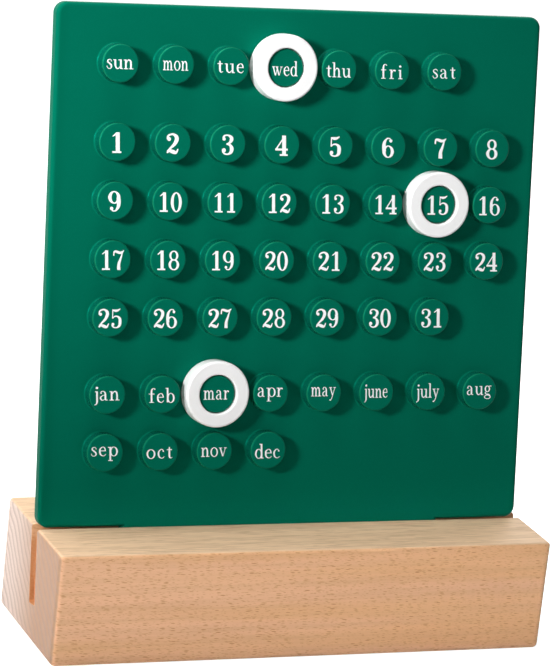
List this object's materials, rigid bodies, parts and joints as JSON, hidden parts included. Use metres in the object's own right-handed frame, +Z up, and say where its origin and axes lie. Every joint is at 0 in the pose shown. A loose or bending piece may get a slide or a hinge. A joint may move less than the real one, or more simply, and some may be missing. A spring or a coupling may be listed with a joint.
{
  "type": "perpetual desk calendar",
  "caption": "Perpetual desk calendar: a pegged panel leaning in a slotted wooden block, with rings that slip over pegs to mark weekday, date and month.",
  "frame": {"origin": "centre of the block's underside", "axes": "+Z up, +X to the reader's right, +Y away from the reader"},
  "size_m": [0.183, 0.0623, 0.2176],
  "materials": {
    "beech": "satin",
    "green_shell": "satin",
    "green_cover": "satin",
    "white_ring": "satin",
    "screw_steel": "zinc plated"
  },
  "bodies": {
    "base": {"base_block": "beech"},
    "panel": {"front_shell": "green_shell", "back_cover": "green_cover", "cover_screw_1": "screw_steel", "cover_screw_2": "screw_steel", "cover_screw_3": "screw_steel", "cover_screw_4": "screw_steel", "cover_screw_5": "screw_steel", "cover_screw_6": "screw_steel", "cover_screw_7": "screw_steel", "cover_screw_8": "screw_steel", "cover_screw_9": "screw_steel", "cover_screw_10": "screw_steel"},
    "weekday_marker": {"weekday_ring": "white_ring"},
    "date_marker": {"date_ring": "white_ring"},
    "month_marker": {"month_ring": "white_ring"}
  },
  "joints": [
    {"name": "panel_lift", "type": "slide", "parent": "base", "child": "panel", "axis": [0, 0.165, 0.9863], "range_m": [0, 0.035]},
    {"name": "weekday_ring_off", "type": "slide", "parent": "panel", "child": "weekday_marker", "axis": [0, -0.9863, 0.165], "range_m": [0, 0.015]},
    {"name": "date_ring_off", "type": "slide", "parent": "panel", "child": "date_marker", "axis": [0, -0.9863, 0.165], "range_m": [0, 0.015]},
    {"name": "month_ring_off", "type": "slide", "parent": "panel", "child": "month_marker", "axis": [0, -0.9863, 0.165], "range_m": [0, 0.015]}
  ]
}
